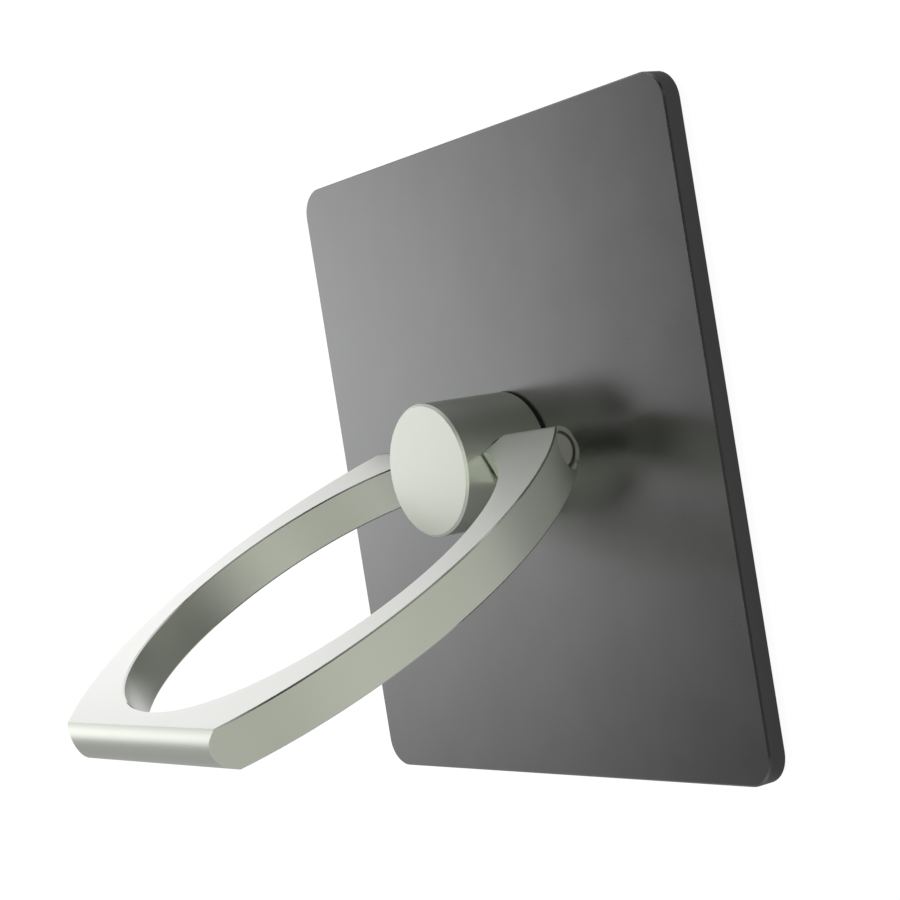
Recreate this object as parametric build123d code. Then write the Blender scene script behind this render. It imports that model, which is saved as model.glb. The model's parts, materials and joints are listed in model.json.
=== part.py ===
from build123d import *
import os
from math import sqrt

# A phone ring holder: a thin stick-on plate, a turned post that swivels on it, and a finger ring
# hinged through the post. Millimetres. The adhesive face lies on Z = 0, the post stands along +Z,
# and the ring leans from the hinge towards -Y.

# Adhesive pad
pad_thickness = 0.6
pad_inset = 1.0

# Base plate
plate_width = 36.0
plate_height = 38.0
plate_thickness = 1.2
plate_corner_radius = 1.7
plate_edge_break = 0.1
pivot_web = 0.4
pocket_radius = 4.4

# Swivel: the post's spigot turns in the plate, held from behind by a screw and a disc spring
spigot_radius = 2.0
running_clearance = 0.05
base_washer_thickness = 0.2
spring_radius = 3.6
spring_thickness = 0.18
spring_height = 0.33
axial_play = 0.02
pivot_head_radius = 3.7
pivot_head_thickness = 0.3
pivot_shank_radius = 1.0
pivot_shank_length = 2.4
pivot_slot_width = 0.6
pivot_slot_depth = 0.12
screw_hole_clearance = 0.03
screw_hole_spare = 0.3

# Post
post_radius = 3.85
post_reach = 6.05
post_edge_break = 0.14
hinge_height = 3.16

# Hinge: a shoulder screw and a friction washer on each side of the post
spot_face_radius = 1.35
spot_face_depth = 0.1
hinge_washer_radius = 1.2
hinge_washer_thickness = 0.2
shoulder_radius = 0.6
thread_radius = 0.5
thread_length = 2.0
hinge_head_radius = 1.0
hinge_head_thickness = 0.8
hinge_head_recess = 0.06
hinge_head_clearance = 0.13
hinge_head_edge_break = 0.05

# Finger ring, in its own plane: across the hinge, and out from the hinge to the tip
ring_thickness = 2.5
ring_edge_break = 0.08
opening_radius = 11.9
opening_from_hinge = 0.6
side_wall = 2.15
tip_wall = 1.15
tip_bulge = 0.65
flank_radius = 18.5
flank_shift = 0.2
hinge_half_width = 8.7
knuckle_reach = 1.3
knuckle_corner_radius = 1.0
rest_angle = 63.2

# Levels worked out from the sizes above
plate_back = pad_thickness
plate_front = plate_back + plate_thickness
pocket_roof = plate_front - pivot_web
post_foot = plate_front + base_washer_thickness
post_top = plate_front + post_reach
hinge_level = plate_front + hinge_height
spigot_end = pocket_roof - axial_play - spring_height
ring_half_thickness = ring_thickness / 2
opening_centre = opening_from_hinge + opening_radius
ring_half_width = opening_radius + side_wall
flank_centre = opening_centre - flank_shift
tip_edge = opening_centre + opening_radius + tip_wall
spot_face_at = post_radius - spot_face_depth
washer_outer_at = spot_face_at + hinge_washer_thickness
foot_inner_at = washer_outer_at + running_clearance
hinge_head_outer_at = hinge_half_width - hinge_head_recess
hinge_head_inner_at = hinge_head_outer_at - hinge_head_thickness
counterbore_floor_at = hinge_head_inner_at - running_clearance

upward = (Align.CENTER, Align.CENTER, Align.MIN)


def upright_cylinder(radius, bottom, top):
    return Pos(0, 0, bottom) * Cylinder(radius, top - bottom, align=upward)


def hinge_cylinder(radius, start, end, side):
    """A cylinder on the hinge axis between two distances from the post's axis, on one side."""
    outward = Plane(origin=(side * start, 0, hinge_level), z_dir=(side, 0, 0))
    return outward * Cylinder(radius, end - start, align=upward)


def tube_on_post(inner, outer, bottom, top):
    return upright_cylinder(outer, bottom, top) - upright_cylinder(inner, bottom, top)


def adhesive_pad():
    outline = RectangleRounded(
        plate_width - 2 * pad_inset,
        plate_height - 2 * pad_inset,
        plate_corner_radius - pad_inset,
    )
    return extrude(outline, pad_thickness)


def base_plate():
    outline = RectangleRounded(plate_width, plate_height, plate_corner_radius)
    slab = Pos(0, 0, plate_back) * extrude(outline, plate_thickness)
    rims = slab.faces().sort_by(Axis.Z)[0].edges() + slab.faces().sort_by(Axis.Z)[-1].edges()
    slab = chamfer(rims, plate_edge_break)
    pivot_hole = upright_cylinder(spigot_radius + running_clearance, plate_back, plate_front)
    pocket = upright_cylinder(pocket_radius, plate_back, pocket_roof)
    return slab - pivot_hole - pocket


def base_washer():
    return tube_on_post(spigot_radius + running_clearance, post_radius, plate_front, post_foot)


def spring_washer():
    """A disc spring: a shallow cone between the screw's head and the plate."""
    inner = spigot_radius + running_clearance
    low = spigot_end
    rise = spring_height - spring_thickness
    section = Polyline(
        (inner, 0, low),
        (spring_radius, 0, low + rise),
        (spring_radius, 0, low + spring_height),
        (inner, 0, low + spring_thickness),
        close=True,
    )
    return revolve(make_face(section), Axis.Z)


def pivot_screw():
    head_low = spigot_end - pivot_head_thickness
    head = upright_cylinder(pivot_head_radius, head_low, spigot_end)
    shank = upright_cylinder(pivot_shank_radius, spigot_end, spigot_end + pivot_shank_length)
    slot_length = 4 * pivot_shank_radius
    slot = Pos(0, 0, head_low) * Box(slot_length, pivot_slot_width, pivot_slot_depth, align=upward)
    return head + shank - slot


def swivel_post():
    body = upright_cylinder(post_radius, post_foot, post_top)
    end_rim = body.faces().sort_by(Axis.Z)[-1].edges()
    body = chamfer(end_rim, post_edge_break)
    body += upright_cylinder(spigot_radius, spigot_end, post_foot)
    hole_top = spigot_end + pivot_shank_length + screw_hole_spare
    body -= upright_cylinder(pivot_shank_radius + screw_hole_clearance, spigot_end, hole_top)
    hole_floor = spot_face_at - thread_length - screw_hole_spare
    for side in (-1, 1):
        body -= hinge_cylinder(spot_face_radius, spot_face_at, post_radius + spot_face_depth, side)
        body -= hinge_cylinder(thread_radius + screw_hole_clearance, hole_floor, post_radius, side)
    return body


def hinge_washer(side):
    disc = hinge_cylinder(hinge_washer_radius, spot_face_at, washer_outer_at, side)
    return disc - hinge_cylinder(shoulder_radius + running_clearance, spot_face_at, washer_outer_at, side)


def hinge_screw(side):
    head = hinge_cylinder(hinge_head_radius, hinge_head_inner_at, hinge_head_outer_at, side)
    outer_face = head.faces().sort_by(Axis.X)[-1 if side > 0 else 0]
    head = chamfer(outer_face.edges(), hinge_head_edge_break)
    shoulder = hinge_cylinder(shoulder_radius, spot_face_at, hinge_head_inner_at, side)
    thread = hinge_cylinder(thread_radius, spot_face_at - thread_length, spot_face_at, side)
    return head + shoulder + thread


def ring_plan():
    """The ring's outline in its own plane, run past the hinge and the tip, less opening and post gap."""
    flank_offset = flank_radius - ring_half_width
    past = ring_thickness
    far = tip_edge + tip_bulge + past
    near = -knuckle_reach - past

    def flank_at(reach):
        return sqrt(flank_radius**2 - (reach - flank_centre) ** 2) - flank_offset

    hinge_corner = flank_centre - sqrt(flank_radius**2 - (hinge_half_width + flank_offset) ** 2)
    right = ThreePointArc(
        (hinge_half_width, hinge_corner),
        (ring_half_width, flank_centre),
        (flank_at(far), far),
    )
    left = ThreePointArc(
        (-flank_at(far), far),
        (-ring_half_width, flank_centre),
        (-hinge_half_width, hinge_corner),
    )
    end = Line(right @ 1, left @ 0)
    hinge_side = Polyline(
        left @ 1,
        (-hinge_half_width, near),
        (hinge_half_width, near),
        right @ 0,
    )
    outline = make_face([right, end, left, hinge_side])
    opening = Pos(0, opening_centre) * Circle(opening_radius)
    post_gap = Pos(0, (near + opening_centre) / 2) * Rectangle(2 * foot_inner_at, opening_centre - near)
    return outline - opening - post_gap


def ring_side():
    """The ring seen along the hinge: a rounded knuckle, flat faces and a bowed tip."""
    round_from = knuckle_corner_radius - knuckle_reach
    top = Line((round_from, ring_half_thickness), (tip_edge, ring_half_thickness))
    tip = ThreePointArc(top @ 1, (tip_edge + tip_bulge, 0), (tip_edge, -ring_half_thickness))
    bottom = Line(tip @ 1, (round_from, -ring_half_thickness))
    lower_round = JernArc(bottom @ 1, (-1, 0), knuckle_corner_radius, -90)
    upper_round = JernArc(top @ 0, (-1, 0), knuckle_corner_radius, 90)
    back = Line(lower_round @ 1, upper_round @ 1)
    return make_face([top, tip, bottom, lower_round, back, upper_round])


def finger_ring():
    blank = extrude(ring_plan(), ring_half_thickness, both=True)
    faces = blank.faces().sort_by(Axis.Z)
    blank = chamfer(faces[0].edges() + faces[-1].edges(), ring_edge_break)
    across_hinge = Plane(origin=(0, 0, 0), x_dir=(0, 1, 0), z_dir=(1, 0, 0))
    ring = blank & across_hinge * extrude(ring_side(), 2 * ring_half_width, both=True)
    leaning = Location((0, 0, hinge_level), (180 - rest_angle, 0, 0))
    ring = leaning * ring
    for side in (-1, 1):
        ring -= hinge_cylinder(shoulder_radius + running_clearance, 0, ring_half_width, side)
        counterbore_radius = hinge_head_radius + hinge_head_clearance
        ring -= hinge_cylinder(counterbore_radius, counterbore_floor_at, ring_half_width, side)
    return ring


parts = {
    "adhesive_pad": adhesive_pad(),
    "base_plate": base_plate(),
    "base_washer": base_washer(),
    "spring_washer": spring_washer(),
    "pivot_screw": pivot_screw(),
    "swivel_post": swivel_post(),
    "hinge_washer_left": hinge_washer(-1),
    "hinge_washer_right": hinge_washer(1),
    "hinge_screw_left": hinge_screw(-1),
    "hinge_screw_right": hinge_screw(1),
    "finger_ring": finger_ring(),
}

os.makedirs("parts", exist_ok=True)
for name, shape in parts.items():
    export_step(shape, f"parts/{name}.step")
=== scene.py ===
import json
import math

import bpy
from mathutils import Matrix, Vector

# A phone ring holder on a white floor: dark satin plate, pale bead-blasted post and finger ring.
# All lengths are in metres, in the part's own frame, apart from the camera's lens and sensor.

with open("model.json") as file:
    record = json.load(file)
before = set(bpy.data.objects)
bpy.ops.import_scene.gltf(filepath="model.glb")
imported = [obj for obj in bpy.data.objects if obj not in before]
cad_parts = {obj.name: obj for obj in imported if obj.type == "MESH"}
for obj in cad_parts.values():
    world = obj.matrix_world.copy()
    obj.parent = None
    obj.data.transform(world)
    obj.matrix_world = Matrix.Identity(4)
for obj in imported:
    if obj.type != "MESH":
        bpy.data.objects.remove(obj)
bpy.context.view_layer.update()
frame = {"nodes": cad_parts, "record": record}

MM = 0.001

# Camera, with its lens and sensor in millimetres
CAMERA_PLACE = Vector((98.63, 1.73, 75.66)) * MM
CAMERA_TARGET = Vector((-5.98, 0.91, 1.8)) * MM
CAMERA_UP = Vector((0.0865, 0.9873, -0.1334))
CAMERA_LENS = 83.78
CAMERA_SENSOR = 36
CAMERA_CLIP = 5 * MM

# Studio light: left is -x, right is +x, where the camera stands, front is -y, where the ring leans,
# and back is +y. A pair of numbers is where a fade begins and ends, by direction in the sky and by
# place on the floor.
WHITE = (1.0, 1.0, 1.0, 1.0)
PLAIN_TINT = (1.0, 1.0, 1.0)
LEFT_TINT = (0.96, 0.93, 1.0)
RIGHT_TINT = (0.98, 1.0, 0.91)

# Sky on the left: a wall of light
WALL_STRENGTH = 2.5
WALL_FADE_UP = (0.54, 0.67)
WALL_FADE_DOWN = (0.42, 0.5)
WALL_LOW_SHARE = 0.72
WALL_FADE_RIGHT = (-0.3, 0.2)
WALL_FADE_FRONT = (-0.24, 0.03)
WALL_FRONT_SHARE = 0.19
WALL_FADE_BACK = (0.0, 0.45)
WALL_BACK_SHARE = 0.22

# Sky on the right: a fill with a dark part in it
FILL_STRENGTH = 0.66
FILL_FADE_UP = (0.05, 1.1)
FILL_FADE_LEFT = (-0.4, 0.2)
DARK_WAY = (0.8, 0.0, 0.6)
DARK_FADE = (0.92, 0.98)
DARK_SHARE = 0.1

# Sky overhead: a lamp, which dims towards the back as the fill does
UPPER_STRENGTH = 1.3
UPPER_FADE_DOWN = (0.7, 0.92)
UPPER_FADE_LEFT = (-0.6, 0.1)
SKY_FADE_BACK = (0.3, 0.8)
SKY_BACK_SHARE = 0.1

# Sky at the back: a faint light
BEHIND_STRENGTH = 0.18
BEHIND_FADE_UP = (-0.1, 0.1)
BEHIND_FADE_FRONT = (0.66, 0.86)
SKY_TINT_FADE = (-0.2, 0.3)

# Floor: white to the camera, and in the metal as bright as the glows below say
FLOOR_HALF = 1.5
FLOOR_PAINT = (0.2, 0.2, 0.2, 1.0)
FLOOR_GLOW = 0.95
FLOOR_TINT_FADE = (14 * MM, 34 * MM)

# Floor on the left: brightest far out, with a patch of its own near the plate
LEFT_GLOW = (2.3, 0.55)
LEFT_REACH = (-145 * MM, 0.0)
LEFT_END = (5 * MM, 15 * MM)
LEFT_FADE_FRONT = (-34 * MM, 0.0)
LEFT_FRONT_SHARE = 0.1
PATCH_GLOW = 0.5
PATCH_FADE_LEFT = (-40 * MM, -32 * MM)
PATCH_FADE_FRONT = (-15 * MM, -8 * MM)
PATCH_FADE_BACK = (0.0, 8 * MM)

# Floor on the right, with a painted contact shadow beside the plate that rises to a glow further out, and
# how both sides dim towards the back
RIGHT_SHADOW_AND_GLOW = (0.11, 0.38)
RIGHT_SHADOW_EDGE = (20 * MM, 27 * MM)
BACK_FADE = (34 * MM, 110 * MM)
BACK_SHARE = 0.3

# Floor in front of the plate
FRONT_GLOW = (0.24, 0.35)
FRONT_REACH = (-160 * MM, -60 * MM)
FRONT_END = (-22 * MM, -19 * MM)

# Surfaces: each clouds between a dark and a pale colour, about a roughness
PLATE_COAT = ((0.209, 0.211, 0.2105), (0.229, 0.231, 0.2305), 0.28)
PALE_METAL = ((0.855, 0.885, 0.81), (0.875, 0.905, 0.83), 0.42)
STEEL = ((0.78, 0.79, 0.72), (0.82, 0.83, 0.76), 0.5)
NYLON = ((0.003, 0.003, 0.003), (0.006, 0.006, 0.006), 0.6)
FOAM = ((0.018, 0.018, 0.018), (0.03, 0.03, 0.03), 0.8)
CLOUD_SIZE = 4 * MM
CLOUD_DETAIL = 4.0
ROUGHNESS_SPREAD = 0.02
BLEND_ENDS = (0.3, 0.7)
OWN_FINISH = {"swivel_post": "turned_metal"}

# Fine grain: the blasting of the metal and the cells of the foam
BLAST_SIZE = 0.05 * MM
BLAST_DEPTH = 0.0004 * MM
FOAM_SIZE = 0.2 * MM
FOAM_DEPTH = 0.01 * MM
GRAIN_DETAIL = 6.0

# Chamfers: cut at 45 degrees, and smoother than the faces beside them
CHAMFER_SLANT = math.cos(math.radians(45))
SLANT_MARGIN = 0.2
LEAST_ACROSS = 0.15
EDGE_ROUGHNESS = 0.12
RING_LEAN = math.radians(63.2)
RING_FACE = (0.0, math.sin(RING_LEAN), math.cos(RING_LEAN))
PLATE_FACE = (0.0, 0.0, 1.0)
HINGE_WAY = (1.0, 0.0, 0.0)

# Shading of the solids' facets
SMOOTH_ANGLE = math.radians(25)
WELD_DISTANCE = 0.002 * MM


def add_node(tree, kind, **settings):
    """A new shader node with its settings."""
    node = tree.nodes.new(kind)
    for name, value in settings.items():
        setattr(node, name, value)
    return node


def joined(tree, kind, *sources, **settings):
    """The first output of a new node, with sockets or values put into its first inputs."""
    node = add_node(tree, kind, **settings)
    for socket, source in zip(node.inputs, sources):
        if isinstance(source, bpy.types.NodeSocket):
            tree.links.new(source, socket)
        else:
            socket.default_value = source
    return node.outputs[0]


def arithmetic(tree, operation, *values):
    return joined(tree, "ShaderNodeMath", *values, operation=operation)


def product(tree, first, *others):
    for other in others:
        first = arithmetic(tree, "MULTIPLY", first, other)
    return first


def total(tree, first, *others):
    for other in others:
        first = arithmetic(tree, "ADD", first, other)
    return first


def between(tree, share, low, high):
    """Runs evenly from low to high as the share goes from 0 to 1."""
    return joined(tree, "ShaderNodeMapRange", share, 0.0, 1.0, low, high)


def ease(tree, value, limits, low, high):
    """Runs smoothly from low to high as the value goes from one limit to the other."""
    return joined(tree, "ShaderNodeMapRange", value, *limits, low, high, interpolation_type="SMOOTHSTEP")


def parts_of(tree, vector):
    """The x, y and z of a vector socket."""
    node = add_node(tree, "ShaderNodeSeparateXYZ")
    tree.links.new(vector, node.inputs["Vector"])
    return node.outputs


def dot(tree, vector, way):
    """How far a vector socket points along a way."""
    node = add_node(tree, "ShaderNodeVectorMath", operation="DOT_PRODUCT")
    tree.links.new(vector, node.inputs[0])
    node.inputs[1].default_value = way
    return node.outputs["Value"]


def grain(tree, size, detail):
    """Noise in object space, with grains about the given size."""
    place = add_node(tree, "ShaderNodeTexCoord").outputs["Object"]
    noise = add_node(tree, "ShaderNodeTexNoise")
    noise.inputs["Scale"].default_value = 1 / size
    noise.inputs["Detail"].default_value = detail
    tree.links.new(place, noise.inputs["Vector"])
    return noise.outputs["Fac"]


def blend_colours(tree, factor, low, high):
    """Runs from one colour to another over the middle of a factor's range."""
    ramp = add_node(tree, "ShaderNodeValToRGB")
    first, last = ramp.color_ramp.elements
    first.position, last.position = BLEND_ENDS
    first.color = (*low, 1)
    last.color = (*high, 1)
    tree.links.new(factor, ramp.inputs["Fac"])
    return ramp.outputs["Color"]


def chamfers(tree, axis, across=None):
    """1 on chamfers between faces along an axis and walls beside it, where they also face across."""
    normal = add_node(tree, "ShaderNodeTexCoord").outputs["Normal"]

    def share_along(way):
        return arithmetic(tree, "ABSOLUTE", dot(tree, normal, way))

    slanted = arithmetic(tree, "COMPARE", share_along(axis), CHAMFER_SLANT, SLANT_MARGIN)
    if across is None:
        return slanted
    return product(tree, slanted, arithmetic(tree, "GREATER_THAN", share_along(across), LEAST_ACROSS))


def satin(name, dark, pale, roughness, metallic=1.0, size=BLAST_SIZE, depth=BLAST_DEPTH, polished=None):
    """A grained surface, faintly clouded in colour and gloss, with smoother chamfers where polished."""
    material = bpy.data.materials.new(name)
    material.use_nodes = True
    tree = material.node_tree
    shader = tree.nodes["Principled BSDF"]
    shader.inputs["Metallic"].default_value = metallic
    cloud = grain(tree, CLOUD_SIZE, CLOUD_DETAIL)
    tree.links.new(blend_colours(tree, cloud, dark, pale), shader.inputs["Base Color"])
    gloss = between(tree, cloud, roughness - ROUGHNESS_SPREAD, roughness + ROUGHNESS_SPREAD)
    if polished:
        gloss = between(tree, chamfers(tree, *polished), gloss, EDGE_ROUGHNESS)
    tree.links.new(gloss, shader.inputs["Roughness"])
    bump = add_node(tree, "ShaderNodeBump")
    bump.inputs["Distance"].default_value = depth
    tree.links.new(grain(tree, size, GRAIN_DETAIL), bump.inputs["Height"])
    tree.links.new(bump.outputs["Normal"], shader.inputs["Normal"])
    return material


MATERIALS = {
    "plate_coat": satin("plate_coat", *PLATE_COAT, polished=[PLATE_FACE]),
    "satin_metal": satin("satin_metal", *PALE_METAL, polished=[RING_FACE, HINGE_WAY]),
    "turned_metal": satin("turned_metal", *PALE_METAL),
    "steel": satin("steel", *STEEL),
    "nylon": satin("nylon", *NYLON, metallic=0.0),
    "adhesive": satin("adhesive", *FOAM, metallic=0.0, size=FOAM_SIZE, depth=FOAM_DEPTH),
}


def dress(node, finish):
    """Gives a solid its finish, with smooth curves and crisp edges."""
    piece = frame["nodes"][node]
    piece.data.materials.clear()
    piece.data.materials.append(MATERIALS[finish])
    for face in piece.data.polygons:
        face.use_smooth = True
    weld = piece.modifiers.new("weld", "WELD")
    weld.merge_threshold = WELD_DISTANCE
    split = piece.modifiers.new("edges", "EDGE_SPLIT")
    split.split_angle = SMOOTH_ANGLE


for subpart in frame["record"]["subparts"]:
    dress(subpart["node"], OWN_FINISH.get(subpart["node"], subpart["material_slot"]))


def emptied(owner):
    """The node tree of a material or world, with no nodes in it."""
    owner.use_nodes = True
    owner.node_tree.nodes.clear()
    return owner.node_tree


def show(tree, kind, surface):
    """Puts a shader on the output of a material or world."""
    output = add_node(tree, kind)
    tree.links.new(surface, output.inputs["Surface"])


def floor_glow(tree, x, y):
    """How bright the floor is in the metal: on the left, on the right with a painted contact shadow
    beside the plate, and in front.
    """
    left = product(
        tree,
        ease(tree, x, LEFT_REACH, *LEFT_GLOW),
        ease(tree, x, LEFT_END, 1.0, 0.0),
        ease(tree, y, LEFT_FADE_FRONT, LEFT_FRONT_SHARE, 1.0),
    )
    patch = product(
        tree,
        ease(tree, x, PATCH_FADE_LEFT, 0.0, PATCH_GLOW),
        ease(tree, x, LEFT_END, 1.0, 0.0),
        ease(tree, y, PATCH_FADE_FRONT, 0.0, 1.0),
        ease(tree, y, PATCH_FADE_BACK, 1.0, 0.0),
    )
    # The right side: a painted contact shadow just beside the plate, rising to a mid glow further out
    right = product(
        tree,
        ease(tree, x, RIGHT_SHADOW_EDGE, *RIGHT_SHADOW_AND_GLOW),
        arithmetic(tree, "GREATER_THAN", x, 0.0),
    )
    beside = product(
        tree,
        arithmetic(tree, "MAXIMUM", total(tree, left, patch), right),
        ease(tree, y, BACK_FADE, 1.0, BACK_SHARE),
    )
    front = product(
        tree,
        ease(tree, y, FRONT_REACH, *FRONT_GLOW),
        ease(tree, y, FRONT_END, 1.0, 0.0),
    )
    return arithmetic(tree, "MAXIMUM", beside, front)


def white_floor():
    """A pale floor, white to the camera, that keeps a soft shadow."""
    bpy.ops.mesh.primitive_plane_add(size=2 * FLOOR_HALF)
    floor = bpy.context.object
    floor.name = "floor"
    material = bpy.data.materials.new("floor")
    tree = emptied(material)
    x, y, _ = parts_of(tree, add_node(tree, "ShaderNodeNewGeometry").outputs["Position"])
    path = add_node(tree, "ShaderNodeLightPath")
    to_camera = product(tree, path.outputs["Is Camera Ray"], FLOOR_GLOW)
    to_metal = product(tree, path.outputs["Is Glossy Ray"], floor_glow(tree, x, y))
    tint = blend_colours(tree, ease(tree, x, FLOOR_TINT_FADE, 0.0, 1.0), LEFT_TINT, RIGHT_TINT)
    seen = joined(tree, "ShaderNodeEmission", WHITE, to_camera)
    mirrored = joined(tree, "ShaderNodeEmission", tint, to_metal)
    paint = joined(tree, "ShaderNodeBsdfDiffuse", FLOOR_PAINT)
    glow = joined(tree, "ShaderNodeAddShader", seen, mirrored)
    show(tree, "ShaderNodeOutputMaterial", joined(tree, "ShaderNodeAddShader", glow, paint))
    floor.data.materials.append(material)


def sky_glow(tree, way, x, y, z):
    """How bright the sky is on the object: on the left, on the right, overhead and at the back."""
    wall = product(
        tree,
        ease(tree, z, WALL_FADE_UP, WALL_STRENGTH, 0.0),
        ease(tree, z, WALL_FADE_DOWN, WALL_LOW_SHARE, 1.0),
        ease(tree, x, WALL_FADE_RIGHT, 1.0, 0.0),
        ease(tree, y, WALL_FADE_FRONT, WALL_FRONT_SHARE, 1.0),
        ease(tree, y, WALL_FADE_BACK, 1.0, WALL_BACK_SHARE),
    )
    fill = product(
        tree,
        ease(tree, z, FILL_FADE_UP, FILL_STRENGTH, 0.0),
        ease(tree, x, FILL_FADE_LEFT, 0.0, 1.0),
        ease(tree, dot(tree, way, DARK_WAY), DARK_FADE, 1.0, DARK_SHARE),
    )
    upper = product(
        tree,
        ease(tree, z, UPPER_FADE_DOWN, 0.0, UPPER_STRENGTH),
        ease(tree, x, UPPER_FADE_LEFT, 0.0, 1.0),
    )
    above = product(
        tree,
        total(tree, fill, upper),
        ease(tree, y, SKY_FADE_BACK, 1.0, SKY_BACK_SHARE),
    )
    behind = product(
        tree,
        ease(tree, z, BEHIND_FADE_UP, 0.0, BEHIND_STRENGTH),
        ease(tree, y, BEHIND_FADE_FRONT, 0.0, 1.0),
    )
    return total(tree, wall, above, behind)


def soft_world():
    """The studio's sky, which lights the object and shows in its metal, and plain white to the camera."""
    world = bpy.data.worlds.new("studio")
    bpy.context.scene.world = world
    tree = emptied(world)
    way = add_node(tree, "ShaderNodeTexCoord").outputs["Generated"]
    x, y, z = parts_of(tree, way)
    tint = blend_colours(tree, ease(tree, x, SKY_TINT_FADE, 0.0, 1.0), PLAIN_TINT, RIGHT_TINT)
    studio = joined(tree, "ShaderNodeBackground", tint, sky_glow(tree, way, x, y, z))
    white = joined(tree, "ShaderNodeBackground", WHITE, 1.0)
    path = add_node(tree, "ShaderNodeLightPath")
    mix = joined(tree, "ShaderNodeMixShader", path.outputs["Is Camera Ray"], studio, white)
    show(tree, "ShaderNodeOutputWorld", mix)


def facing(place, target, up):
    """The turn of something at one place that looks at another, with its top along up."""
    back = (place - target).normalized()
    right = up.cross(back).normalized()
    top = back.cross(right)
    return Matrix((right, top, back)).transposed()


def photo_camera():
    """The camera at the photograph's viewing angle."""
    data = bpy.data.cameras.new("camera")
    data.lens = CAMERA_LENS
    data.sensor_width = CAMERA_SENSOR
    data.clip_start = CAMERA_CLIP
    camera = bpy.data.objects.new("camera", data)
    bpy.context.scene.collection.objects.link(camera)
    turn = facing(CAMERA_PLACE, CAMERA_TARGET, CAMERA_UP)
    camera.matrix_world = Matrix.Translation(CAMERA_PLACE) @ turn.to_4x4()
    bpy.context.scene.camera = camera


white_floor()
soft_world()
photo_camera()
bpy.context.scene.view_settings.view_transform = "Standard"
